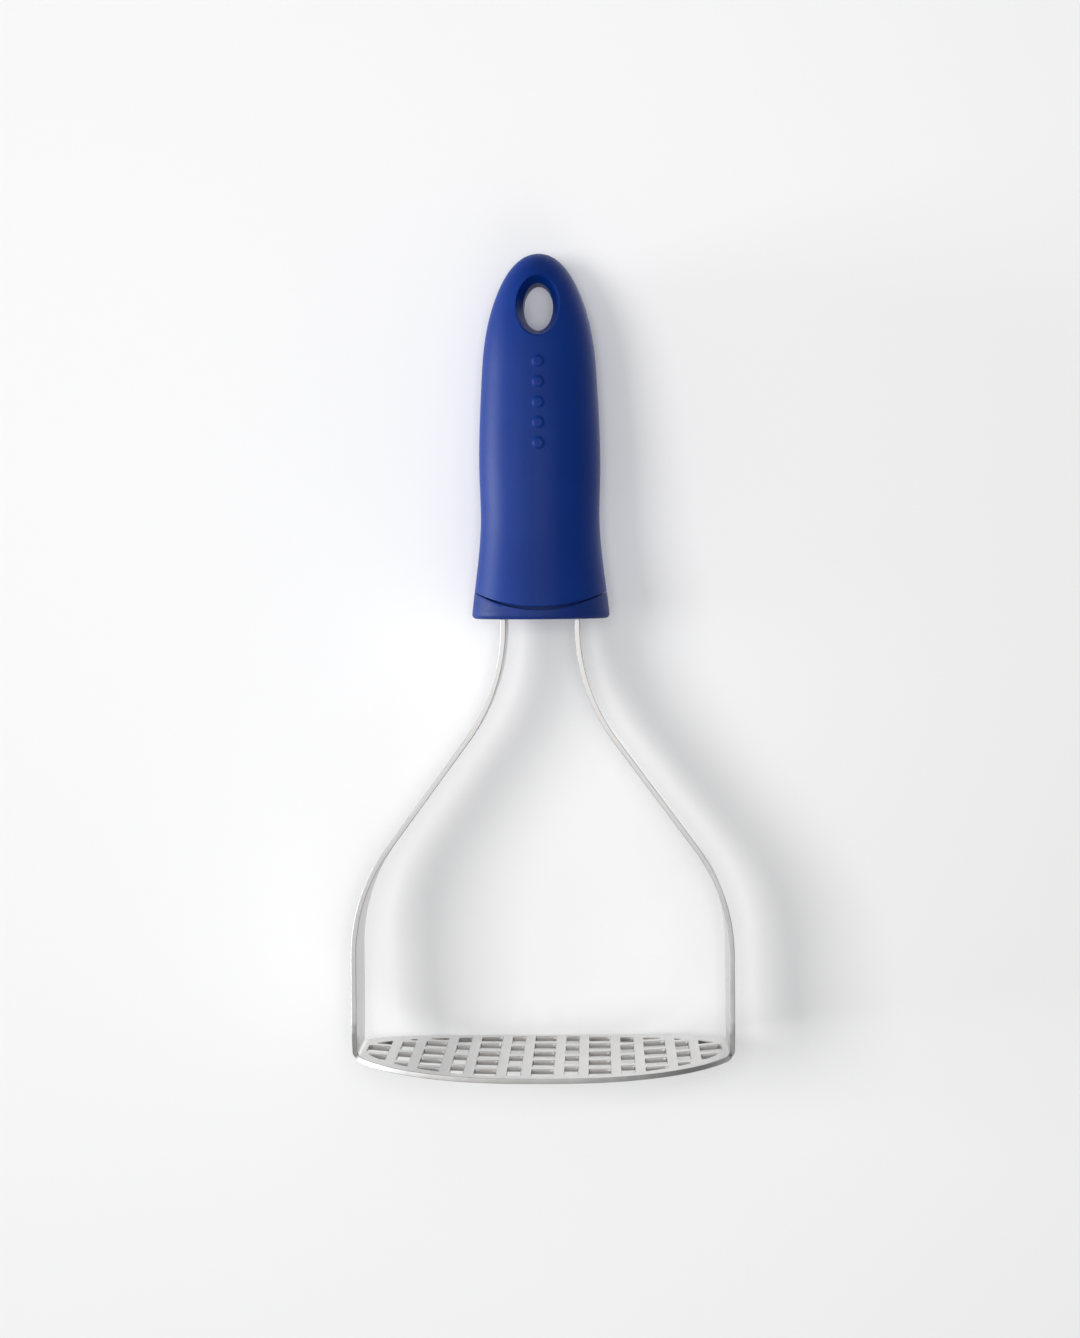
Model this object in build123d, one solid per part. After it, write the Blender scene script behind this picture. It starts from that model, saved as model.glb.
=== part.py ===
from build123d import *
import os

# A masher-type potato ricer. A perforated oval steel plate is bent up at both ends into
# two legs, which lean in and run on as tangs into a handle with a soft sleeve.
# Frame: the origin is under the middle of the plate, +Z runs up the handle and +X along
# the plate. All sizes are in millimetres.

# ---- steel head, given by the outer face of the bent strip ----
STEEL = 1.4                # sheet thickness
LEG_OUT = 52.8             # centre plane to the outer face of an upright leg
NECK_OUT = 10.9            # the same where the leg enters the handle
BOW_START = 29.2           # where the flat middle and the rising end of the plate meet
BOW_RISE = 2.44            # how far the plate has risen when it reaches the leg
LOW_KNEE = 47.9            # height of the corner where a leg starts to lean in
HIGH_KNEE = 104.6          # height of the corner where it is upright again
BOW_RADIUS = 410
CORNER_RADIUS = 2.6
LOW_KNEE_RADIUS = 50
HIGH_KNEE_RADIUS = 53

# ---- plate outline and its holes ----
PLATE_RIM = [(0, 29.6), (25.0, 27.3), (37.5, 23.3), (46.0, 17.8), (53.4, 8.5)]
HOLE_FIELD = (50.5, 27.0)  # half length and half depth of the oval that clips the holes
HOLE_SHIFT = 1.0           # the rows of holes sit this far behind the middle
COLUMN_PITCH = 7.8         # wide and narrow columns take turns
WIDE_HOLE = (6.0, 8.4)
WIDE_PITCH = 11.4
NARROW_HOLE = (3.7, 10.8)
NARROW_PITCH = 13.9
HOLE_CORNER = 0.5
THINNEST_HOLE = 1.5        # a thinner leftover isn't punched

# ---- leg widths, front to back ----
LEG_FOOT_Z = 3.0           # the plate's outline ends and the leg's starts here
LEG_FOOT_HALF = 9.6
LEG_WIDE_Z = 10.0          # the leg is widest here, and tapers from here to the handle
LEG_WIDE_HALF = 12.0
LEG_WIDE_RADIUS = 15.0
LEG_NECK_HALF = 10.0
SHOULDER_Z = 126.7         # the leg narrows to its tang here
TANG_HALF = 5.0
TANG_TOP = 165.0

# ---- handle: half widths by height, squeezed front to back ----
DEPTH_RATIO = 0.82
FOOT_Z = 124.0
FOOT_HALF = 19.2
WAIST = (16.6, 151.0)
BELLY = (16.9, 164.0)
SHOULDER = (16.2, 189.0)
CROWN = (13.2, 210.0)
TIP_Z = 225.8
FOOT_ROUND = 1.2

# ---- sleeve, collar and core ----
CORE_SIZE = (27.2, 21.2)   # section of the core, a bar with round corners
CORE_ROUND = 9.0
CORE_Z = 127.0
CORE_TOP = 199.0
CORE_TOP_ROUND = 3.0
BOND_GAP = 0.1             # all round the core, where the adhesive is
SEAM_HALF = 18.3           # half width of the handle at the ends of the seam
COLLAR_SIDE_Z = 131.3      # collar's top edge at the sides
COLLAR_DIP_Z = 126.6       # and at the front and back
SLEEVE_SIDE_Z = 131.6
SLEEVE_DIP_Z = 127.7
LEG_CLEARANCE = 0.2

# ---- hanging hole ----
HOLE_Z = 210.5
HOLE_HALF = (4.1, 6.6)     # half width and half height of the passage
FLARE_HALF = (6.6, 9.1)
FLARE_DEPTH = (7.0, 12.0)  # the flare runs between these distances from the middle

# ---- cross pins ----
PIN_RADIUS = 1.5
PIN_HALF_LENGTH = 13.0
PIN_HEIGHTS = (143.0, 157.0)
PIN_CLEARANCE = 0.05

FAR = 40.0                 # half length of cutters that pass right through


def head_strip():
    """The bent strip before its outline and holes are cut, seen from the front."""
    side = [
        (NECK_OUT, TANG_TOP),
        (NECK_OUT, HIGH_KNEE),
        (LEG_OUT, LOW_KNEE),
        (LEG_OUT, BOW_RISE),
        (BOW_START, 0),
    ]
    other_side = [(-x, z) for x, z in side]
    radii = [HIGH_KNEE_RADIUS, LOW_KNEE_RADIUS, CORNER_RADIUS, BOW_RADIUS]
    path = FilletPolyline(*other_side, *reversed(side), radius=radii + radii[::-1])
    section = make_face(offset(path, amount=STEEL, side=Side.LEFT).edges())
    return extrude(Plane.XZ * section, FAR, both=True)


def leg_width_cutter():
    """What is kept of the strip seen from the side: plate, tapered leg and narrow tang."""
    half = [
        (0, -FAR),
        (FAR, -FAR),
        (FAR, LEG_FOOT_Z),
        (LEG_FOOT_HALF, LEG_FOOT_Z),
        (LEG_WIDE_HALF, LEG_WIDE_Z),
        (LEG_NECK_HALF, FOOT_Z),
        (LEG_NECK_HALF, SHOULDER_Z),
        (TANG_HALF, SHOULDER_Z),
        (TANG_HALF, TANG_TOP + 1),
        (0, TANG_TOP + 1),
    ]
    face = make_face(Polyline(*half, close=True).edges())
    widest = face.vertices().sort_by_distance((LEG_WIDE_HALF, LEG_WIDE_Z))[0]
    face = fillet(widest, LEG_WIDE_RADIUS)
    whole = face + mirror(face, Plane.YZ)
    return extrude(Plane.YZ * whole, 2 * FAR, both=True)


def plate_outline():
    """The plan of the plate: one quarter of its rim, mirrored front to back and end to end."""
    rim = Spline(*PLATE_RIM, tangents=((1, 0), (0.62, -1)))
    end = Line(rim @ 1, (PLATE_RIM[-1][0], 0))
    bottom = Line((PLATE_RIM[-1][0], 0), (0, 0))
    middle = Line((0, 0), PLATE_RIM[0])
    quarter = make_face([rim, end, bottom, middle])
    half = quarter + mirror(quarter, Plane.XZ)
    return half + mirror(half, Plane.YZ)


def hole_columns():
    """(x, hole size, row centres) of every column of holes in the plate."""
    wide_rows = [HOLE_SHIFT + row * WIDE_PITCH for row in range(-2, 3)]
    narrow_rows = [HOLE_SHIFT + (row + 0.5) * NARROW_PITCH for row in range(-2, 2)]
    for column in range(-6, 7):
        x = column * COLUMN_PITCH
        if column % 2 == 0:
            yield x, WIDE_HOLE, wide_rows
        else:
            yield x, NARROW_HOLE, narrow_rows


def round_corners(hole):
    """Rounds a hole's corners, apart from tips that are too sharp to take the radius."""
    for corner in hole.vertices():
        nearest = hole.vertices().sort_by_distance(corner)[0]
        try:
            hole = fillet(nearest, HOLE_CORNER)
        except ValueError:
            continue
    return hole


def plate_holes():
    """Cutters for the holes: a grid clipped to an oval."""
    field = Ellipse(*HOLE_FIELD)
    cutters = []
    for x, (width, length), rows in hole_columns():
        for y in rows:
            clipped = field & Pos(x, y) * Rectangle(width, length)
            for hole in clipped.faces():
                if hole.bounding_box().size.Y < THINNEST_HOLE:
                    continue
                cutters.append(extrude(Pos(0, 0, -1) * round_corners(hole), 10))
    return cutters


def handle_form():
    """The handle's outer form: a round turning squeezed front to back."""
    foot = (FOOT_HALF - FOOT_ROUND, FOOT_Z)
    heel = (FOOT_HALF, FOOT_Z + FOOT_ROUND)
    side = Spline(heel, WAIST, BELLY, SHOULDER, CROWN, (0, TIP_Z), tangents=((-0.1, 1), (-1, 0)))
    base = Line((0, FOOT_Z), foot)
    rounding = TangentArc(foot, heel, tangent=(1, 0))
    middle = Line((0, TIP_Z), (0, FOOT_Z))
    section = Plane.XZ * make_face([base, rounding, side, middle])
    return scale(revolve(section, Axis.Z), by=(1, DEPTH_RATIO, 1))


def core_bar(grow):
    """The core's outer shape, grown all round by grow."""
    width, depth = CORE_SIZE
    section = RectangleRounded(width + 2 * grow, depth + 2 * grow, CORE_ROUND + grow)
    bar = extrude(Pos(0, 0, CORE_Z - grow) * section, CORE_TOP - CORE_Z + 2 * grow)
    return fillet(bar.edges().group_by(Axis.Z)[-1], CORE_TOP_ROUND + grow)


def above(height):
    """A block that holds everything of the handle above height."""
    size = TIP_Z - height + 10
    return Pos(0, 0, height + size / 2) * Box(FAR * 2, FAR * 2, size)


def seam_drum(dip, side):
    """A drum lying front to back. Its underside is the saddle-shaped seam."""
    rise = side - dip
    radius = (SEAM_HALF**2 + rise**2) / (2 * rise)
    return Pos(0, 0, dip + radius) * Rot(90, 0, 0) * Cylinder(radius, 2 * FAR)


def hole_passage():
    """An oval bar through the handle at the hanging hole."""
    return extrude(Plane.XZ * Pos(0, HOLE_Z) * Ellipse(*HOLE_HALF), FAR, both=True)


def hole_flare():
    """The widening of the hanging hole at the front."""
    near, far = FLARE_DEPTH
    inner = Plane.XZ.offset(near) * Pos(0, HOLE_Z) * Ellipse(*HOLE_HALF)
    outer = Plane.XZ.offset(far) * Pos(0, HOLE_Z) * Ellipse(*FLARE_HALF)
    return loft([inner, outer])


def both_sides(shape):
    """The shape and its mirror image across the centre plane."""
    return [shape, mirror(shape, Plane.YZ)]


def leg_slot(half_depth, low, high, clearance):
    """The room for one leg or tang between two heights, seen at the handle."""
    width = STEEL + 2 * clearance
    middle = NECK_OUT - STEEL / 2
    depth = 2 * (half_depth + clearance)
    return Pos(middle, 0, (low + high) / 2) * Box(width, depth, high - low)


def pin(radius, half_length, height):
    """A round bar along X at one height."""
    return Pos(0, 0, height) * Rot(0, 90, 0) * Cylinder(radius, 2 * half_length)


def mashing_head():
    """Plate, legs and tangs, bent from one strip."""
    plate_room = extrude(Pos(0, 0, -1) * plate_outline(), LEG_FOOT_Z + 1)
    leg_room = Pos(0, 0, LEG_FOOT_Z + TANG_TOP / 2) * Box(4 * FAR, 2 * FAR, TANG_TOP)
    head = head_strip() & (plate_room + leg_room) & leg_width_cutter()
    head -= plate_holes()
    for height in PIN_HEIGHTS:
        head -= pin(PIN_RADIUS + PIN_CLEARANCE, FAR, height)
    return head


def handle_core():
    """The hard bar inside the sleeve, with slots for the tangs."""
    core = core_bar(0)
    core -= both_sides(leg_slot(TANG_HALF, CORE_Z - 1, TANG_TOP + BOND_GAP, BOND_GAP))
    for height in PIN_HEIGHTS:
        core -= pin(PIN_RADIUS + PIN_CLEARANCE, FAR, height)
    return core


def collar():
    """The hard cup under the sleeve that the legs come through."""
    cup = handle_form() - above(COLLAR_SIDE_Z + 1)
    cup -= seam_drum(COLLAR_DIP_Z, COLLAR_SIDE_Z)
    cup -= core_bar(BOND_GAP)
    cup -= both_sides(leg_slot(LEG_NECK_HALF, FOOT_Z - 1, CORE_Z + 1, LEG_CLEARANCE))
    return cup


def silicone_grip():
    """The soft sleeve over the core, solid round its flared hanging hole."""
    below_seam = Pos(0, 0, SLEEVE_SIDE_Z + 1 - FAR / 2) * Box(2 * FAR, 2 * FAR, FAR)
    sleeve = handle_form() - (below_seam - seam_drum(SLEEVE_DIP_Z, SLEEVE_SIDE_Z))
    sleeve -= core_bar(BOND_GAP)
    flare = hole_flare()
    sleeve -= hole_passage()
    sleeve -= flare
    sleeve -= mirror(flare, Plane.XZ)
    return sleeve


def tang_pins():
    """Two cross pins that lock the tangs in the core."""
    return Compound(children=[pin(PIN_RADIUS, PIN_HALF_LENGTH, z) for z in PIN_HEIGHTS])


os.makedirs("parts", exist_ok=True)
export_step(mashing_head(), "parts/mashing_head.step")
export_step(handle_core(), "parts/handle_core.step")
export_step(collar(), "parts/collar.step")
export_step(silicone_grip(), "parts/silicone_grip.step")
export_step(tang_pins(), "parts/tang_pins.step")
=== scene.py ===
import math

import bpy
import numpy as np
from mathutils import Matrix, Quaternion, Vector, geometry, kdtree


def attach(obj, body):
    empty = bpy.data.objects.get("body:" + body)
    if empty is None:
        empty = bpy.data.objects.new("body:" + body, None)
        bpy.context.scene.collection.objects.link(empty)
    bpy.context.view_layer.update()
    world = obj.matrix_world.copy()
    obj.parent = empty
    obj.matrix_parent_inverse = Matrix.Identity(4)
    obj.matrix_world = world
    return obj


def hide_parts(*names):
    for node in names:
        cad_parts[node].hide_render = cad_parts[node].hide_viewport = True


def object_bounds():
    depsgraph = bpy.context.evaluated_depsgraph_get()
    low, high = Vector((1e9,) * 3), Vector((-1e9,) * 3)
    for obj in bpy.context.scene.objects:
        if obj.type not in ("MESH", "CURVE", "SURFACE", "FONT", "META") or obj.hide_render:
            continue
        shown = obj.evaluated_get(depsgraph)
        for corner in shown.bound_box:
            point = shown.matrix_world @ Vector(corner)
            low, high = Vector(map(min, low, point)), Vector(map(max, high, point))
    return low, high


# A masher-type potato ricer, standing upright: +Z up the handle, +X along the plate, -Y the front.
# The meshes below are worked out in millimetres, in the frame's axes, and made in metres.

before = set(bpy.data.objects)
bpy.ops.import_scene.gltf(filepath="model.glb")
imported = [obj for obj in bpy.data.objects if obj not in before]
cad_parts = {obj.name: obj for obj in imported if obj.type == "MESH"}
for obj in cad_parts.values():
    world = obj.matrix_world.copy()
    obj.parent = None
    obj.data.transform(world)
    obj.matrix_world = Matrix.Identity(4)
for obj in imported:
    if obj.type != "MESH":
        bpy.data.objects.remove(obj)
cad_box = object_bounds()

MM = 0.001

# ---- steel head ----
STEEL = 1.4
LEG_OUT = 52.8
NECK_OUT = 10.9
BOW_START = 29.2
BOW_RISE = 2.44
LOW_KNEE = 47.9
HIGH_KNEE = 104.6
BEND_RADII = (410, 2.6, 50, 53)     # plate's bow, plate corner, low knee, high knee
TANG_TOP = 165.0
PLATE_RIM = [(0, 29.6), (25.0, 27.3), (37.5, 23.3), (46.0, 17.8), (53.4, 8.5)]
LEG_FOOT_Z = 3.0
LEG_FOOT_HALF = 9.6
LEG_WIDE_Z = 10.0
LEG_WIDE_HALF = 12.0
LEG_WIDE_BLEND = 2.6                # the widest place is rounded this far down and up
LEG_WIDE_LOSS = 0.23                # and is this much narrower than a sharp corner would be
LEG_NECK_HALF = 10.0
SHOULDER_Z = 126.7
TANG_HALF = 5.0
PIN_HEIGHTS = (143.0, 157.0)
PIN_HOLE = 1.55
EDGE_ROUND = 0.16                   # how far the punched edges are rounded
EDGE_MIDDLE = 0.29                  # where the middle of the rounding lies, as a share of it
OUTLINE_STEP = 0.8                  # between the outline's points
CLOSE_STEP = 0.35                   # and round the corner between plate and leg
CLOSE_SPAN = (44, 62)               # where that corner is, as a distance from the strip's middle
BEND_SPAN = (46, 58)                # where the faces have closer points too
HOLE_FIELD = (50.5, 27.0)
HOLE_SHIFT = 1.0
COLUMN_PITCH = 7.8
WIDE_HOLE = (6.0, 8.4)
WIDE_PITCH = 11.4
NARROW_HOLE = (3.7, 10.8)
NARROW_PITCH = 13.9
HOLE_CORNER = 0.6
THINNEST_HOLE = 1.5

# ---- handle ----
DEPTH_RATIO = 0.82
FOOT_Z = 124.0
FOOT_ROUND = 1.2
HEEL = (19.2, 125.2)
SIDE = [HEEL, (16.6, 151.0), (16.9, 164.0), (16.2, 189.0), (13.2, 210.0), (0, 225.8)]
CORE_ROUND = 9.0
CORE_CORNER = (4.6, 1.6)            # how far the core's rounded corners are centred from its middle
BOND_GAP = 0.1                      # all round the core
SEAM_HALF = 18.3
COLLAR_EDGE = (126.6, 131.3)        # heights of the seam edge at the front and at the sides
SLEEVE_EDGE = (127.5, 131.38)
TONGUE_NARROWER = 0.7               # how much nearer the surface the seam's rings are at the sides
SLOT_CLEARANCE = 0.2
COLLAR_FLOOR = 3.0
HOLE_Z = 210.5
HOLE_HALF = (4.1, 6.6)
FLARE_HALF = (6.0, 8.4)


# ================= curves =================

def smooth_curve(points, start, end, count):
    """Points on a cubic spline through the given ones, with the end directions start and end."""
    p = np.array(points, float)
    step = np.linalg.norm(np.diff(p, axis=0), axis=1)
    n = len(p)
    a = np.zeros((n, n))
    b = np.zeros((n, 2))
    a[0, 0] = a[-1, -1] = 1
    b[0] = np.array(start, float) / np.linalg.norm(start)
    b[-1] = np.array(end, float) / np.linalg.norm(end)
    for i in range(1, n - 1):
        before, after = step[i - 1], step[i]
        a[i, i - 1 : i + 2] = after, 2 * (before + after), before
        b[i] = 3 * (after * (p[i] - p[i - 1]) / before + before * (p[i + 1] - p[i]) / after)
    slope = np.linalg.solve(a, b)
    knots = np.concatenate([[0], np.cumsum(step)])
    result = []
    for t in np.linspace(0, knots[-1], count):
        i = min(np.searchsorted(knots, t, side="right") - 1, n - 2)
        h = step[i]
        u = (t - knots[i]) / h
        result.append(
            (2 * u**3 - 3 * u**2 + 1) * p[i]
            + (u**3 - 2 * u**2 + u) * h * slope[i]
            + (3 * u**2 - 2 * u**3) * p[i + 1]
            + (u**3 - u**2) * h * slope[i + 1]
        )
    return np.array(result)


def bend_steps(corners, radii):
    """The rounded path through the corners as steps (x, z, heading, length, turn)."""
    legs = [Vector(b) - Vector(a) for a, b in zip(corners, corners[1:])]
    headings = [math.atan2(leg.y, leg.x) for leg in legs]
    steps = []
    place = Vector(corners[0])
    trimmed = 0.0
    for i, leg in enumerate(legs):
        direction = leg.normalized()
        last = i == len(legs) - 1
        turn = 0.0 if last else headings[i + 1] - headings[i]
        tangent = 0.0 if last else radii[i] * math.tan(abs(turn) / 2)
        straight = leg.length - trimmed - tangent
        steps.append((place.x, place.y, headings[i], straight, 0.0))
        place = place + direction * straight
        if not last:
            steps.append((place.x, place.y, headings[i], radii[i] * abs(turn), turn))
            after = Vector((math.cos(headings[i + 1]), math.sin(headings[i + 1])))
            place = place + direction * tangent + after * tangent
        trimmed = tangent
    return steps


HALF_PATH = bend_steps(
    [
        (0, 0),
        (BOW_START, 0),
        (LEG_OUT, BOW_RISE),
        (LEG_OUT, LOW_KNEE),
        (NECK_OUT, HIGH_KNEE),
        (NECK_OUT, TANG_TOP),
    ],
    BEND_RADII,
)
HALF_LENGTH = sum(step[3] for step in HALF_PATH)


def on_strip(s, inward):
    """(x, z) at the distance s along the strip's outer face, moved inward through the sheet."""
    left = max(0.0, min(abs(s), HALF_LENGTH))
    for x, z, heading, length, turn in HALF_PATH:
        if left <= length + 1e-9:
            break
        left -= length
    if turn:
        radius = length / turn
        now = heading + left / radius
        x += radius * (math.sin(now) - math.sin(heading))
        z -= radius * (math.cos(now) - math.cos(heading))
    else:
        now = heading
        x += left * math.cos(now)
        z += left * math.sin(now)
    x -= inward * math.sin(now)
    z += inward * math.cos(now)
    return math.copysign(x, s) if s else x, z


# ================= flat patterns =================

def fill(loops, seeds, spacing):
    """Triangles between an outline and its holes. Gives the points, loops first, and the triangles."""
    regions = []
    points = []
    for loop in loops:
        ids = list(range(len(points), len(points) + len(loop)))
        points += [Vector(p) for p in loop]
        p = np.array(loop, float)
        turning = (p[:, 0] * np.roll(p[:, 1], -1) - np.roll(p[:, 0], -1) * p[:, 1]).sum()
        regions.append(ids if turning > 0 else ids[::-1])
    near = kdtree.KDTree(len(points))
    for i, p in enumerate(points):
        near.insert((p.x, p.y, 0), i)
    near.balance()
    points += [Vector(p) for p in seeds if near.find((p[0], p[1], 0))[2] > 0.6 * spacing]
    out = geometry.delaunay_2d_cdt(points, [], regions, 1, 1e-6)
    faces, source, region = out[2], out[3], out[5]
    kept = [face for face, owners in zip(faces, region) if owners == [0]]
    used = sorted({i for face in kept for i in face})
    rank = {}
    for i in range(sum(len(loop) for loop in loops)):
        rank[i] = i
    for i in used:
        old = source[i][0]
        if old not in rank:
            rank[old] = len(rank)
    flat = [None] * len(rank)
    for old, new in rank.items():
        flat[new] = points[old]
    return flat, [[rank[source[i][0]] for i in face] for face in kept]


def seed_grid(low, high, spacing):
    """Staggered points over a rectangle."""
    rows = int((high[1] - low[1]) / (spacing * 0.87)) + 1
    columns = int((high[0] - low[0]) / spacing) + 1
    for r in range(rows):
        for c in range(columns):
            yield low[0] + (c + 0.5 * (r % 2)) * spacing, low[1] + r * spacing * 0.87


def inset(loop, amount):
    """The closed loop moved to its left by amount, corner by corner."""
    p = np.array(loop, float)
    ahead = np.roll(p, -1, axis=0) - p
    ahead /= np.linalg.norm(ahead, axis=1)[:, None]
    behind = np.roll(ahead, 1, axis=0)
    normal = np.stack([-(ahead + behind)[:, 1], (ahead + behind)[:, 0]], axis=1)
    normal /= np.linalg.norm(normal, axis=1)[:, None]
    lean = np.clip((normal * np.stack([-ahead[:, 1], ahead[:, 0]], axis=1)).sum(1), 0.5, 1)
    return p + normal * (amount / lean)[:, None]


def rounded_corners(corners, radius, pieces=4):
    """A closed polygon with its corners rounded, where its sides are long enough."""
    result = []
    count = len(corners)
    for i in range(count):
        here = Vector(corners[i])
        to_before = Vector(corners[i - 1]) - here
        to_after = Vector(corners[(i + 1) % count]) - here
        angle = to_before.angle(to_after)
        if angle > math.radians(150):
            result.append(tuple(here))
            continue
        reach = min(radius / math.tan(angle / 2), 0.45 * to_before.length, 0.45 * to_after.length)
        start = here + to_before.normalized() * reach
        end = here + to_after.normalized() * reach
        for k in range(pieces + 1):
            t = k / pieces
            result.append(tuple((1 - t) ** 2 * start + 2 * t * (1 - t) * here + t * t * end))
    return result


# ================= mesh making =================

def make_piece(name, points, faces, materials, sharp=35, indices=None, uvs=None):
    """A smooth shaded piece from points in millimetres, riding on the one body."""
    mesh = bpy.data.meshes.new(name)
    mesh.from_pydata([tuple(MM * c for c in p) for p in points], [], faces)
    for material in materials:
        mesh.materials.append(material)
    if indices is not None:
        mesh.polygons.foreach_set("material_index", indices)
    if uvs is not None:
        layer = mesh.uv_layers.new(name="strip")
        corner = [c for loop in mesh.loops for c in uvs[loop.vertex_index]]
        layer.data.foreach_set("uv", corner)
    mesh.validate()
    mesh.shade_smooth()
    mesh.set_sharp_from_angle(angle=math.radians(sharp))
    piece = bpy.data.objects.new(name, mesh)
    bpy.context.scene.collection.objects.link(piece)
    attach(piece, "root")
    return piece


def bridge(first, second, closed=True):
    """Quads between two rings of point numbers."""
    count = len(first) if closed else len(first) - 1
    size = len(first)
    return [(first[i], first[(i + 1) % size], second[(i + 1) % size], second[i]) for i in range(count)]


# ================= steel head =================

RIM_CURVE = smooth_curve(PLATE_RIM, (1, 0), (0.62, -1), 200)


def strip_half_width(s):
    """Half of the strip's width, front to back, at the distance s from its middle."""
    x, z = on_strip(abs(s), 0)
    if z < LEG_FOOT_Z:
        return np.interp(x, RIM_CURVE[:, 0], RIM_CURVE[:, 1])
    if z > SHOULDER_Z:
        return TANG_HALF
    blend = LEG_WIDE_BLEND
    heights = (LEG_FOOT_Z, LEG_WIDE_Z - blend, LEG_WIDE_Z, LEG_WIDE_Z + blend, FOOT_Z)
    slope = (LEG_NECK_HALF - LEG_WIDE_HALF) / (FOOT_Z - LEG_WIDE_Z)
    rise = (LEG_WIDE_HALF - LEG_FOOT_HALF) / (LEG_WIDE_Z - LEG_FOOT_Z)
    widths = (
        LEG_FOOT_HALF,
        LEG_WIDE_HALF - blend * rise,
        LEG_WIDE_HALF - LEG_WIDE_LOSS,
        LEG_WIDE_HALF + blend * slope,
        LEG_NECK_HALF,
    )
    return np.interp(z, heights, widths)


def strip_outline():
    """The strip's flat outline, anticlockwise, as (distance along, distance across)."""
    places = []
    s = 0.0
    while s < HALF_LENGTH:
        places.append(s)
        s += CLOSE_STEP if CLOSE_SPAN[0] < s < CLOSE_SPAN[1] else OUTLINE_STEP
    places.append(HALF_LENGTH)
    shoulder = next(s for s in places if on_strip(s, 0)[1] > SHOULDER_Z)
    right = []
    for s in places:
        if s == shoulder:
            right.append((s, strip_half_width(s - 1.0)))
        right.append((s, strip_half_width(s)))
    front = [(-s, -w) for s, w in reversed(right[1:])] + [(s, -w) for s, w in right]
    back = [(s, w) for s, w in reversed(right)] + [(-s, w) for s, w in right[1:]]
    return front + back


def plate_holes():
    """The flat outlines of the plate's holes, clockwise."""
    half_length, half_depth = HOLE_FIELD
    for column in range(-6, 7):
        if column % 2 == 0:
            width, length = WIDE_HOLE
            rows = [row * WIDE_PITCH for row in range(-2, 3)]
        else:
            width, length = NARROW_HOLE
            rows = [(row + 0.5) * NARROW_PITCH for row in range(-2, 2)]
        low_x, high_x = column * COLUMN_PITCH - width / 2, column * COLUMN_PITCH + width / 2
        for row in rows:
            low_y, high_y = HOLE_SHIFT + row - length / 2, HOLE_SHIFT + row + length / 2
            top, bottom = [], []
            for x in np.linspace(low_x, high_x, 7):
                limit = half_depth * math.sqrt(max(0, 1 - (x / half_length) ** 2))
                if min(high_y, limit) - max(low_y, -limit) > 0.35:
                    top.append((x, min(high_y, limit)))
                    bottom.append((x, max(low_y, -limit)))
            tallest = max((t[1] - b[1] for t, b in zip(top, bottom)), default=0)
            if tallest >= THINNEST_HOLE:
                yield rounded_corners(top + bottom[::-1], HOLE_CORNER)


def pin_holes():
    """The flat outlines of the holes for the pins in the tangs, clockwise."""
    for side in (-1, 1):
        for height in PIN_HEIGHTS:
            s = HALF_LENGTH - (TANG_TOP - height)
            circle = np.linspace(0, -2 * math.pi, 20, endpoint=False)
            yield [(side * s + PIN_HOLE * math.cos(a), PIN_HOLE * math.sin(a)) for a in circle]


def build_head(steel, edge_steel_painted_shade, wall_steel):
    """Plate, legs and tangs as one bent sheet with rounded edges."""
    loops = [strip_outline(), *plate_holes(), *pin_holes()]
    inner = [inset(loop, EDGE_ROUND) for loop in loops]
    seeds = list(seed_grid((-HALF_LENGTH, -30), (HALF_LENGTH, 30), 1.6))
    seeds = [p for p in seeds if abs(p[1]) < strip_half_width(p[0]) - 0.5]
    for side in (-1, 1):
        for s in np.arange(*BEND_SPAN, 0.4):
            room = strip_half_width(s) - 0.6
            seeds += [(side * s, y) for y in np.arange(-14, 14.1, 1.4) if abs(y) < room]
    flat, triangles = fill(inner, seeds, 0.9)
    corner = EDGE_ROUND * EDGE_MIDDLE
    edge = np.concatenate([np.array(loop, float) for loop in loops])
    shoulder = np.concatenate([inset(loop, corner) for loop in loops])

    points, uvs = [], []

    def add(plane, inward):
        first = len(points)
        for s, y in plane:
            x, z = on_strip(s, inward)
            points.append((x, y, z))
            uvs.append((s * MM, y * MM))
        return first

    bottom = add([tuple(p) for p in flat], 0)
    top = add([tuple(p) for p in flat], STEEL)
    levels = [
        add(shoulder, corner),
        add(edge, EDGE_ROUND),
        add(edge, STEEL - EDGE_ROUND),
        add(shoulder, STEEL - corner),
    ]
    faces = [(c, b, a) for a, b, c in triangles]
    faces += [(top + a, top + b, top + c) for a, b, c in triangles]
    indices = [0] * len(faces)
    first = 0
    for number, loop in enumerate(loops):
        ids = range(first, first + len(loop))
        stack = [[level + i for i in ids] for level in (bottom, *levels, top)]
        for low, high in zip(stack, stack[1:]):
            rim = bridge(low, high)
            faces += rim
            indices += [1 if number == 0 else 2] * len(rim)
        first += len(loop)
    head = make_piece("steel_head", points, faces, [steel, edge_steel_painted_shade, wall_steel], 50, indices, uvs)
    flatten = head.modifiers.new("flat_faces", "WEIGHTED_NORMAL")
    flatten.keep_sharp = True
    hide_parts("mashing_head")


# ================= handle =================

SIDE_CURVE = smooth_curve(SIDE, (-0.1, 1), (-1, 0), 400)
SIDE_LENGTH = np.concatenate([[0], np.cumsum(np.linalg.norm(np.diff(SIDE_CURVE, axis=0), axis=1))])


def side_at(v):
    """(half width, height) of the handle at the distance v up its side from the heel."""
    return np.interp(v, SIDE_LENGTH, SIDE_CURVE[:, 0]), np.interp(v, SIDE_LENGTH, SIDE_CURVE[:, 1])


def height_to_length(z):
    """The distance up the handle's side at which it reaches the height z."""
    return np.interp(z, SIDE_CURVE[:, 1], SIDE_LENGTH)


def on_handle(angle, v):
    """The point of the handle's surface at an angle from +X and a distance up its side."""
    half, z = side_at(v)
    return np.array((half * math.cos(angle), DEPTH_RATIO * half * math.sin(angle), z))


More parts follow.
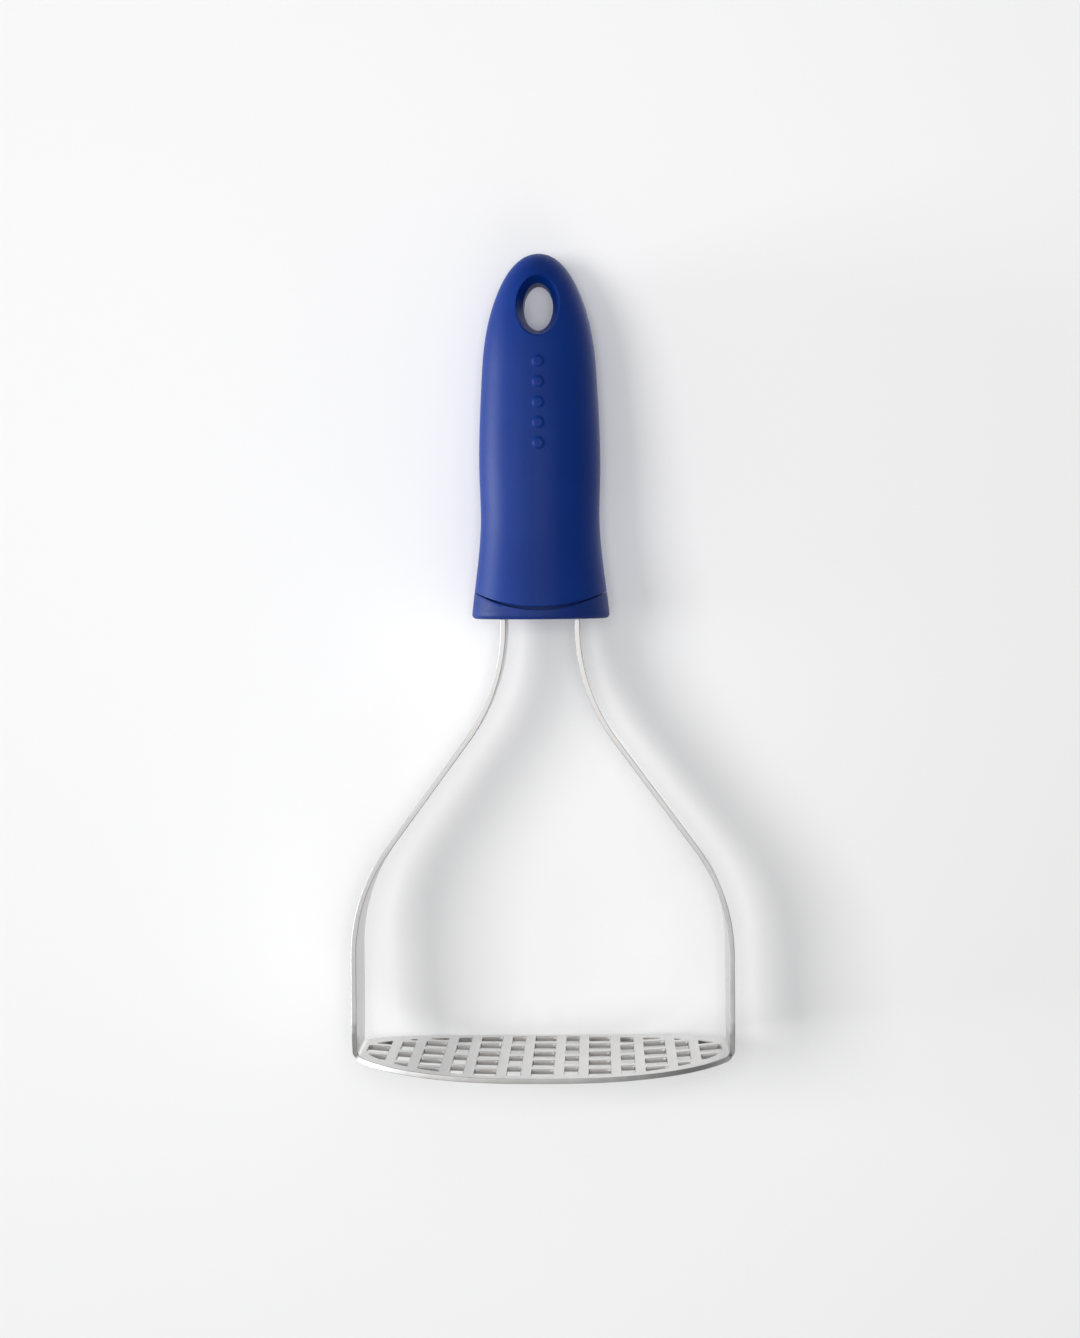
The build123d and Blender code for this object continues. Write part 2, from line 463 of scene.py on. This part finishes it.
def handle_normal(angle, v):
    """The outward normal of the handle's surface."""
    step = 0.05
    across = on_handle(angle + 0.002, v) - on_handle(angle - 0.002, v)
    up = on_handle(angle, min(v + step, SIDE_LENGTH[-1] - 1e-3)) - on_handle(angle, max(v - step, 0))
    normal = np.cross(across, up)
    return normal / np.linalg.norm(normal)


def seam_height(edge, x):
    """Height of a saddle-shaped seam edge at a distance x from the centre plane."""
    dip, side = edge
    rise = side - dip
    radius = (SEAM_HALF**2 + rise**2) / (2 * rise)
    return dip + radius - math.sqrt(radius**2 - min(abs(x), SEAM_HALF) ** 2)


def seam_length(edge, angle):
    """The distance up the side at which the seam edge crosses the handle at an angle."""
    v = height_to_length(edge[0])
    for _ in range(6):
        half, _ = side_at(v)
        v = height_to_length(seam_height(edge, half * math.cos(angle)))
    return v


def seam_point(edge, angle, inside, rise):
    """A point of a ring beside the seam edge: moved in by a share of the radius and up by rise."""
    x, y, _ = on_handle(angle, seam_length(edge, angle))
    scale = 1 - inside * (1 - TONGUE_NARROWER * math.cos(angle) ** 2)
    return x * scale, y * scale, seam_height(edge, x * scale) + rise


def front_depth(x, z):
    """How far in front of the centre plane the handle's surface is at (x, z)."""
    half, _ = side_at(height_to_length(z))
    return DEPTH_RATIO * math.sqrt(max(half**2 - x**2, 0.01))


def handle_place(x, z):
    """The (angle, distance up the side) of a point on the handle's front."""
    v = height_to_length(z)
    half, _ = side_at(v)
    return -math.acos(max(-1.0, min(1.0, x / half))), v


# ================= materials =================

def new_material(name):
    """An empty node material with its Principled shader."""
    material = bpy.data.materials.new(name)
    material.use_nodes = True
    return material, material.node_tree, material.node_tree.nodes["Principled BSDF"]


def add_node(tree, kind, **inputs):
    """A node with some of its sockets set. Names use _ for a space."""
    node = tree.nodes.new(kind)
    for key, value in inputs.items():
        if hasattr(node, key):
            setattr(node, key, value)
        else:
            node.inputs[key.replace("_", " ")].default_value = value
    return node


def add_noise(tree, vector, scale, detail=3.0, roughness=0.5):
    """A noise texture on a vector. Its scale is in features per metre."""
    noise = add_node(tree, "ShaderNodeTexNoise", Scale=scale, Detail=detail, Roughness=roughness)
    tree.links.new(vector, noise.inputs["Vector"])
    return noise.outputs["Fac"]


def add_range(tree, value, low, high, start=0.0, end=1.0):
    """The value stretched from start..end to low..high."""
    node = add_node(tree, "ShaderNodeMapRange", From_Min=start, From_Max=end, To_Min=low, To_Max=high)
    tree.links.new(value, node.inputs["Value"])
    return node.outputs["Result"]


def add_stretch(tree, vector, scale):
    """The vector stretched by three factors."""
    node = add_node(tree, "ShaderNodeMapping")
    node.inputs["Scale"].default_value = scale
    tree.links.new(vector, node.inputs["Vector"])
    return node.outputs["Vector"]


def add_colours(tree, value, low, high):
    """A colour between two, by a value."""
    ramp = add_node(tree, "ShaderNodeValToRGB")
    ramp.color_ramp.elements[0].color = (*low, 1)
    ramp.color_ramp.elements[1].color = (*high, 1)
    tree.links.new(value, ramp.inputs["Fac"])
    return ramp.outputs["Color"]


def add_bump(tree, shader, height, strength, distance, under=None):
    """Bump from a height, over another bump if there is one."""
    bump = add_node(tree, "ShaderNodeBump", Strength=strength, Distance=distance)
    tree.links.new(height, bump.inputs["Height"])
    if under:
        tree.links.new(under, bump.inputs["Normal"])
    tree.links.new(bump.outputs["Normal"], shader.inputs["Normal"])
    return bump.outputs["Normal"]


def brushed_steel(name, colour, rough, along=60, across=2600, shade=0.8):
    """Satin stainless steel, brushed along the strip. Its streaks darken by the factor shade."""
    material, tree, shader = new_material(name)
    strip = add_node(tree, "ShaderNodeUVMap", uv_map="strip").outputs["UV"]
    lines = add_noise(tree, add_stretch(tree, strip, (along, across, 1)), 1.0, 4, 0.6)
    place = add_node(tree, "ShaderNodeTexCoord").outputs["Object"]
    cloud = add_noise(tree, place, 55, 4, 0.6)
    grain = add_noise(tree, place, 2600, 2, 0.6)
    mix = add_node(tree, "ShaderNodeMath", operation="MULTIPLY_ADD")
    tree.links.new(lines, mix.inputs[0])
    mix.inputs[1].default_value = 0.65
    tree.links.new(add_range(tree, cloud, 0.0, 0.35, 0.3, 0.7), mix.inputs[2])
    dark = tuple(c * shade for c in colour)
    tree.links.new(add_colours(tree, mix.outputs[0], dark, colour), shader.inputs["Base Color"])
    tree.links.new(add_range(tree, mix.outputs[0], rough - 0.06, rough + 0.07), shader.inputs["Roughness"])
    shader.inputs["Metallic"].default_value = 1.0
    under = add_bump(tree, shader, lines, 0.3, 0.00004)
    add_bump(tree, shader, grain, 0.08, 0.00003, under)
    return material


def soft_silicone(name):
    """Matte moulded silicone: a fine grain, a slight bloom, and barely uneven colour."""
    material, tree, shader = new_material(name)
    place = add_node(tree, "ShaderNodeTexCoord").outputs["Object"]
    cloud = add_noise(tree, place, 60, 4, 0.55)
    grain = add_noise(tree, place, 2300, 3, 0.6)
    dust = add_noise(tree, place, 3600, 2, 0.5)
    patches = add_range(tree, cloud, 0, 1, 0.3, 0.7)
    colour = add_colours(tree, patches, (0.0004, 0.019, 0.148), (0.0008, 0.023, 0.168))
    tree.links.new(colour, shader.inputs["Base Color"])
    tree.links.new(add_range(tree, dust, 0.44, 0.54, 0.3, 0.7), shader.inputs["Roughness"])
    shader.inputs["Specular IOR Level"].default_value = 0.13
    shader.inputs["Sheen Weight"].default_value = 0.08
    shader.inputs["Sheen Roughness"].default_value = 0.3
    shader.inputs["Sheen Tint"].default_value = (0.55, 0.65, 1.0, 1)
    under = add_bump(tree, shader, grain, 0.35, 0.00008)
    add_bump(tree, shader, dust, 0.1, 0.00008, under)
    return material


def moulded_plastic(name, low, high, rough):
    """Satin moulded plastic with a fine spark-eroded texture."""
    material, tree, shader = new_material(name)
    place = add_node(tree, "ShaderNodeTexCoord").outputs["Object"]
    cloud = add_noise(tree, place, 120, 3, 0.55)
    grain = add_noise(tree, place, 1700, 3, 0.65)
    patches = add_range(tree, cloud, 0, 1, 0.3, 0.7)
    tree.links.new(add_colours(tree, patches, low, high), shader.inputs["Base Color"])
    tree.links.new(add_range(tree, grain, rough - 0.06, rough + 0.08, 0.3, 0.7), shader.inputs["Roughness"])
    shader.inputs["Specular IOR Level"].default_value = 0.14
    add_bump(tree, shader, grain, 0.3, 0.00008)
    return material


def turned_steel(name):
    """Drawn steel bar for the cross pins, with fine rings round it."""
    material, tree, shader = new_material(name)
    place = add_node(tree, "ShaderNodeTexCoord").outputs["Object"]
    rings = add_noise(tree, add_stretch(tree, place, (6000, 60, 60)), 1.0, 3, 0.6)
    colour = add_colours(tree, rings, (0.42, 0.42, 0.43), (0.62, 0.62, 0.63))
    tree.links.new(colour, shader.inputs["Base Color"])
    tree.links.new(add_range(tree, rings, 0.25, 0.4), shader.inputs["Roughness"])
    shader.inputs["Metallic"].default_value = 1.0
    add_bump(tree, shader, rings, 0.1, 0.00003)
    return material


# ================= silicone grip =================

HALF_TURN = math.pi
WRAP = 16.0                 # turns an angle into millimetres in the unwrapped pattern
TIP_START = 0.9             # the pattern ends this far from the tip, and a cap closes it
PIPS = 5
PIP_PITCH = 5.6
PIP_CENTRE_Z = 183.5
PIP_RADIUS = 1.55
PIP_HEIGHT = 0.42
PIP_SPREAD = 0.25           # a pip starts this far outside its radius
PIP_SLOPE = 0.75            # and reaches its full height over this distance
PIP_RINGS = (0.0, 0.5, 0.95, 1.05, 1.2, 1.35, 1.5, 1.65, 1.8, 2.05)    # radii of its rings of points
PIP_ROOM = 2.4              # half width of the strip that is left to those rings
POCKET_TOP = 199.0
THROAT_DEPTH = 4.6          # the passage starts this far in front of the centre plane
MOUTH_POINTS = 72           # points round the hanging hole
MOUTH_START = 1.3           # where the surface round the mouth starts, as a share of the widening
MOUTH_ROOM = 1.2            # and how far from the mouth its other points stay
LIP_LIFT = 0.4              # the outer surface ends this far above the lip
LIP_POINTS = 128

# Rings round the sleeve's lower end: (share of the way in to the axis at the front, height over the edge)
SLEEVE_LIP = [(0.0015, 0.2), (0.007, 0.06), (0.017, 0.0), (0.2, 0.0), (0.205, 1.5), (0.23, 1.5)]

# How the flare of the hanging hole runs in from the surface: (share of the widening left, share of the depth)
FLARE_PROFILE = [
    (1.06, 0.012), (1.0, 0.045), (0.93, 0.11), (0.78, 0.24), (0.6, 0.4), (0.42, 0.56),
    (0.26, 0.7), (0.13, 0.83), (0.05, 0.92), (0.01, 0.98), (0.0, 1.05),
]


def pocket_ring(grow, angle):
    """A point of the core's rounded outline, grown by grow."""
    radius = CORE_ROUND + grow
    across, deep = CORE_CORNER
    side = across if math.cos(angle) > 0 else -across
    front = deep if math.sin(angle) > 0 else -deep
    return side + radius * math.cos(angle), front + radius * math.sin(angle)


def flare_ring(share, count):
    """An ellipse between the hanging hole's passage and its widened mouth, in (x, z)."""
    a = HOLE_HALF[0] + (FLARE_HALF[0] - HOLE_HALF[0]) * share
    b = HOLE_HALF[1] + (FLARE_HALF[1] - HOLE_HALF[1]) * share
    for t in np.linspace(0, 2 * math.pi, count, endpoint=False):
        yield a * math.cos(t), HOLE_Z + b * math.sin(t)


def pip_height(x, z):
    """How far the row of raised pips lifts the front of the grip at (x, z)."""
    for k in range(PIPS):
        away = math.hypot(x, z - PIP_CENTRE_Z - (k - (PIPS - 1) / 2) * PIP_PITCH)
        if away < PIP_RADIUS + PIP_SPREAD:
            t = min(1.0, (PIP_RADIUS + PIP_SPREAD - away) / PIP_SLOPE)
            return PIP_HEIGHT * t * t * (3 - 2 * t)
    return 0.0


def grip_half(front):
    """Pattern of one half of the sleeve: its points, its triangles and the length of its outline."""
    start = -HALF_TURN if front else 0.0
    top = SIDE_LENGTH[-1] - TIP_START
    lower = [start + HALF_TURN * k / 64 for k in range(65)]
    loop = [(WRAP * a, seam_length(SLEEVE_EDGE, a) + LIP_LIFT) for a in lower]
    rising = np.linspace(seam_length(SLEEVE_EDGE, 0.0) + LIP_LIFT, top, 70)
    right = [(WRAP * lower[-1], v) for v in rising[1:-1]]
    cap = [(WRAP * (start + HALF_TURN * (1 - k / 10)), top) for k in range(11)]
    left = [(WRAP * start, v) for v in rising[-2:0:-1]]
    outline = loop + right + cap + left
    rim = []
    for x, z in flare_ring(MOUTH_START, MOUTH_POINTS):
        angle, v = handle_place(x, z)
        rim.append((WRAP * (angle if front else -angle), v))
    rim = rim if front else rim[::-1]
    seeds = []
    for row, v in enumerate(np.arange(SIDE_LENGTH[0] + 2, top - 0.4, 1.0)):
        half, z = side_at(v)
        count = max(6, int(math.pi * half / 1.25))
        for k in range(count):
            a = start + HALF_TURN * (k + 0.25 + 0.5 * (row % 2)) / count
            if v < seam_length(SLEEVE_EDGE, a) + LIP_LIFT + 0.5:
                continue
            x = half * math.cos(a)
            across = x / (FLARE_HALF[0] + MOUTH_ROOM)
            along = (z - HOLE_Z) / (FLARE_HALF[1] + MOUTH_ROOM)
            near_pip = front and abs(x) < PIP_ROOM and abs(z - PIP_CENTRE_Z) < PIPS * PIP_PITCH / 2 + 1
            if across**2 + along**2 > 1 and not near_pip:
                seeds.append((WRAP * a, v))
    if front:
        for k in range(PIPS):
            z0 = PIP_CENTRE_Z + (k - (PIPS - 1) / 2) * PIP_PITCH
            for radius in PIP_RINGS:
                around = max(1, int(radius * 14))
                for j in range(around):
                    t = 2 * math.pi * (j + 0.5 * radius) / around
                    angle, v = handle_place(radius * math.cos(t), z0 + radius * math.sin(t))
                    seeds.append((WRAP * angle, v))
    points, triangles = fill([outline, rim], seeds, 0.8)
    return points, triangles, len(outline)


def build_grip(silicone):
    """The sleeve: a closed skin with its flared hole, its lower lip and the pocket for the core."""
    points, faces = [], []
    index = {}

    def put(point):
        key = tuple(round(float(c), 4) for c in point)
        if key not in index:
            index[key] = len(points)
            points.append(key)
        return index[key]

    rims = []
    for front in (True, False):
        pattern, triangles, outline = grip_half(front)
        ids = []
        for u, v in pattern:
            angle = u / WRAP
            place = on_handle(angle, v)
            if front:
                lift = pip_height(place[0], place[2])
                if lift:
                    place = place + handle_normal(angle, v) * lift
            ids.append(put(place))
        faces += [tuple(ids[i] for i in face) for face in triangles]
        rims.append(ids[outline : outline + MOUTH_POINTS])
    tip = put(on_handle(0, SIDE_LENGTH[-1]))
    top = SIDE_LENGTH[-1] - TIP_START
    ring = [put(on_handle(-HALF_TURN + HALF_TURN * k / 10, top)) for k in range(20)]
    faces += [(ring[k], ring[(k + 1) % 20], tip) for k in range(20)]

    # the flared mouths and the passage between them
    throats = []
    for front, loop in zip((True, False), rims):
        sign = -1 if front else 1
        for share, depth in FLARE_PROFILE:
            ring = []
            mouth = flare_ring(1.0, MOUTH_POINTS)
            for (x, z), (rim_x, rim_z) in zip(flare_ring(share, MOUTH_POINTS), mouth):
                surface = front_depth(rim_x, rim_z)
                ring.append(put((x, sign * (surface + (THROAT_DEPTH - surface) * depth), z)))
            ring = ring if front else ring[::-1]
            faces += bridge(ring, loop)
            loop = ring
        throats.append(loop)
    faces += bridge(throats[1][::-1], throats[0])

    # the lower lip, then the pocket
    angles = [-HALF_TURN + HALF_TURN * k / 64 for k in range(LIP_POINTS)]
    loop = [put(on_handle(a, seam_length(SLEEVE_EDGE, a) + LIP_LIFT)) for a in angles]
    for inside, rise in SLEEVE_LIP:
        ring = [put(seam_point(SLEEVE_EDGE, a, inside, rise)) for a in angles]
        faces += bridge(ring, loop)
        loop = ring
    for height in (None, 150.0, 175.0, POCKET_TOP):
        ring = []
        for a in angles:
            x, y = pocket_ring(BOND_GAP, a)
            z = seam_height(SLEEVE_EDGE, x) + SLEEVE_LIP[-1][1] if height is None else height
            ring.append(put((x, y, z)))
        faces += bridge(ring, loop)
        loop = ring
    middle = put((0, 0, POCKET_TOP))
    faces += [(loop[(k + 1) % LIP_POINTS], loop[k], middle) for k in range(LIP_POINTS)]
    grip = make_piece("silicone_sleeve", points, faces, [silicone], 60)
    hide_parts("silicone_grip")


# ================= collar =================

# Rings round the collar's upper end: (share of the way in to the axis at the front, height over the edge)
COLLAR_LIP = [
    (0.0, -0.16), (0.0015, -0.08), (0.005, -0.02), (0.01, 0.0), (0.21, 0.0), (0.215, 1.3), (0.23, 1.3),
]
COLLAR_POINTS = 160
SLOT_ROUND = 0.25           # a slot's mouth is rounded this far

# Rings down a slot: (growth, depth)
SLOT_RINGS = [(0.08, 0.07), (0.0, 0.25), (0.0, COLLAR_FLOOR - 0.4)]


def slot_loop(side, grow):
    """Outline of a leg's slot in the collar's floor, anticlockwise."""
    middle = side * (NECK_OUT - STEEL / 2)
    half_x = STEEL / 2 + SLOT_CLEARANCE + grow
    half_y = LEG_NECK_HALF + SLOT_CLEARANCE + grow
    corners = [(-half_x, -half_y), (half_x, -half_y), (half_x, half_y), (-half_x, half_y)]
    return [(middle + x, y) for x, y in rounded_corners(corners, 0.5, 3)]


def build_collar(plastic):
    """The hard cup: rounded foot, saddle-shaped top edge, pocket and two blind leg slots."""
    points, faces = [], []

    def put(point):
        points.append(tuple(float(c) for c in point))
        return len(points) - 1

    count = COLLAR_POINTS
    angles = [2 * math.pi * k / count for k in range(count)]
    rings = []
    for turn in (0, 22.5, 45, 67.5):
        t = math.radians(turn)
        half = HEEL[0] - FOOT_ROUND * (1 - math.sin(t))
        z = FOOT_Z + FOOT_ROUND * (1 - math.cos(t))
        rings.append([put((half * math.cos(a), DEPTH_RATIO * half * math.sin(a), z)) for a in angles])
    for share in (0.0, 0.25, 0.5, 0.75, 0.94):
        rings.append([put(on_handle(a, share * seam_length(COLLAR_EDGE, a))) for a in angles])
    for inside, rise in COLLAR_LIP:
        rings.append([put(seam_point(COLLAR_EDGE, a, inside, rise)) for a in angles])
    ring = []
    for a in angles:
        x, y = pocket_ring(BOND_GAP, a)
        ring.append(put((x, y, seam_height(COLLAR_EDGE, x) + COLLAR_LIP[-1][1])))
    rings.append(ring)
    rings.append([put((*pocket_ring(BOND_GAP, a), FOOT_Z + COLLAR_FLOOR)) for a in angles])
    for low, high in zip(rings, rings[1:]):
        faces += bridge(low, high)
    middle = put((0, 0, FOOT_Z + COLLAR_FLOOR))
    faces += [(rings[-1][k], rings[-1][(k + 1) % count], middle) for k in range(count)]

    # the floor with the slots' mouths
    foot = [(points[i][0], points[i][1]) for i in rings[0]]
    mouths = [slot_loop(side, SLOT_ROUND)[::-1] for side in (-1, 1)]
    flat, triangles = fill([foot, *mouths], seed_grid((-18, -15), (18, 15), 2.5), 1.5)
    ids = list(rings[0]) + [put((x, y, FOOT_Z)) for x, y in flat[count:]]
    faces += [(ids[c], ids[b], ids[a]) for a, b, c in triangles]
    first = count
    for side in (-1, 1):
        size = len(slot_loop(side, 0))
        loop = ids[first : first + size]
        first += size
        for grow, depth in SLOT_RINGS:
            ring = [put((x, y, FOOT_Z + depth)) for x, y in slot_loop(side, grow)[::-1]]
            faces += bridge(loop, ring)
            loop = ring
        faces.append(tuple(loop[::-1]))
    collar = make_piece("handle_collar", points, faces, [plastic], 50)
    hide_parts("collar")


# ================= stage =================

CAMERA_PLACE = (0.0163, -0.638, 0.1357)
CAMERA_AIM = (-0.0259, 1.0, -0.0112)
CAMERA_ROLL = math.radians(-0.43)
LENS = 61.4
LENS_SHIFT = -0.05
SURFACE_SIZE = 3.0
SURFACE_GAP = 0.001         # leaves the handle just clear of the surface, per unit of height
SKY_LIGHT = 0.28
BACKDROP = 0.82             # how bright the empty room looks where there is no surface

# Soft lights: name, direction from the tool, distance, size, power and colour
LIGHTS = [
    ("key", (-0.62, -0.78, 0.03), 2.6, 1.1, 27.0, (1.0, 0.985, 0.97)),
    ("window", (-1.0, 0.0, -0.02), 2.4, 0.9, 84.0, (0.95, 0.975, 1.0)),
    ("front", (0.01, -0.67, 0.03), 0.69, 0.2, 1.4, (1.0, 0.995, 0.99)),
    ("panel", (0.0, -0.67, 0.2), 0.95, 1.0, 1.0, (1.0, 1.0, 1.0)),
    ("low", (0.15, -0.6, -0.8), 1.8, 1.0, 3.2, (1.0, 1.0, 1.0)),
    ("behind", (0.5, 1.0, 0.6), 1.8, 1.2, 16.0, (1.0, 0.99, 0.98)),
]


def lying_surface():
    """The pale surface that the tool lies on. It is seen from its front only."""
    back = cad_box[1].y
    rest = Vector((0, back, 0))
    rim = back / MM
    slope = max((DEPTH_RATIO * half - rim) / z for half, z in SIDE_CURVE) + SURFACE_GAP
    up = Vector((0, slope, 1)).normalized()
    mesh = bpy.data.meshes.new("surface")
    half = SURFACE_SIZE / 2
    square = ((-half, -half), (half, -half), (half, half), (-half, half))
    corners = [rest + Vector((x, 0, 0)) + up * z for x, z in square]
    mesh.from_pydata([tuple(c) for c in corners], [], [(0, 1, 2, 3)])
    surface = bpy.data.objects.new("surface", mesh)
    bpy.context.scene.collection.objects.link(surface)
    material, tree, shader = new_material("paper_white")
    shader.inputs["Base Color"].default_value = (0.9, 0.9, 0.905, 1)
    shader.inputs["Roughness"].default_value = 0.85
    shader.inputs["Specular IOR Level"].default_value = 0.1
    clear = add_node(tree, "ShaderNodeBsdfTransparent")
    side = add_node(tree, "ShaderNodeNewGeometry")
    ray = add_node(tree, "ShaderNodeLightPath")
    either = add_node(tree, "ShaderNodeMath", operation="MAXIMUM")
    tree.links.new(side.outputs["Backfacing"], either.inputs[0])
    tree.links.new(ray.outputs["Is Shadow Ray"], either.inputs[1])
    mix = add_node(tree, "ShaderNodeMixShader")
    tree.links.new(either.outputs[0], mix.inputs["Fac"])
    tree.links.new(shader.outputs["BSDF"], mix.inputs[1])
    tree.links.new(clear.outputs["BSDF"], mix.inputs[2])
    tree.links.new(mix.outputs["Shader"], tree.nodes["Material Output"].inputs["Surface"])
    mesh.materials.append(material)


def area_light(name, direction, distance, size, power, colour, target):
    """A square soft light aimed at the target from a direction."""
    light = bpy.data.lights.new(name, "AREA")
    light.energy = power
    light.size = size
    light.color = colour
    lamp = bpy.data.objects.new(name, light)
    way = Vector(direction).normalized()
    lamp.location = target + way * distance
    lamp.visible_camera = False
    lamp.rotation_mode = "QUATERNION"
    lamp.rotation_quaternion = (-way).to_track_quat("-Z", "Y")
    bpy.context.scene.collection.objects.link(lamp)


def build_stage():
    """Surface, soft lights, pale surroundings and the camera."""
    lying_surface()
    low, high = cad_box
    middle = (low + high) / 2
    for name, direction, distance, size, power, colour in LIGHTS:
        area_light(name, direction, distance, size, power, colour, middle)
    world = bpy.data.worlds.new("studio")
    world.use_nodes = True
    tree = world.node_tree
    sky = tree.nodes["Background"]
    sky.inputs["Color"].default_value = (0.97, 0.985, 1.0, 1)
    sky.inputs["Strength"].default_value = SKY_LIGHT
    backdrop = add_node(tree, "ShaderNodeBackground", Strength=BACKDROP)
    ray = add_node(tree, "ShaderNodeLightPath")
    mix = add_node(tree, "ShaderNodeMixShader")
    tree.links.new(ray.outputs["Is Camera Ray"], mix.inputs["Fac"])
    tree.links.new(sky.outputs["Background"], mix.inputs[1])
    tree.links.new(backdrop.outputs["Background"], mix.inputs[2])
    tree.links.new(mix.outputs["Shader"], tree.nodes["World Output"].inputs["Surface"])
    bpy.context.scene.world = world
    camera = bpy.data.objects.new("camera", bpy.data.cameras.new("camera"))
    camera.data.lens = LENS
    camera.data.sensor_width = 36.0
    camera.data.shift_y = LENS_SHIFT
    camera.data.clip_start = 0.01
    camera.location = CAMERA_PLACE
    camera.rotation_mode = "QUATERNION"
    aim = Vector(CAMERA_AIM).to_track_quat("-Z", "Y")
    camera.rotation_quaternion = aim @ Quaternion((0, 0, 1), CAMERA_ROLL)
    bpy.context.scene.collection.objects.link(camera)
    bpy.context.scene.camera = camera
    bpy.context.scene.view_settings.view_transform = "Standard"


def dress(node, material):
    """Gives a kept CAD node its procedural material."""
    mesh = bpy.data.objects[node].data
    mesh.materials.clear()
    mesh.materials.append(material)


build_head(
    brushed_steel("brushed_steel", (0.66, 0.655, 0.65), 0.34),
    # The cut edges' steel is rougher with stronger streaks; its darker colour is painted shade that dims
    # their reflections of the lights.
    brushed_steel("edge_steel_painted_shade", (0.5, 0.495, 0.49), 0.48, 160, 1400, 0.6),
    # The hole walls' steel is rougher and unbrushed like a sheared edge; its darker colour is painted shade
    # for the dim walls.
    brushed_steel("punched_steel_painted_shade", (0.42, 0.41, 0.4), 0.4, 900, 900),
)
build_grip(soft_silicone("blue_silicone"))
build_collar(moulded_plastic("blue_plastic", (0.003, 0.019, 0.125), (0.006, 0.026, 0.155), 0.5))
dress("handle_core", moulded_plastic("core_plastic", (0.006, 0.012, 0.05), (0.008, 0.016, 0.065), 0.5))
dress("tang_pins", turned_steel("pin_steel"))
build_stage()
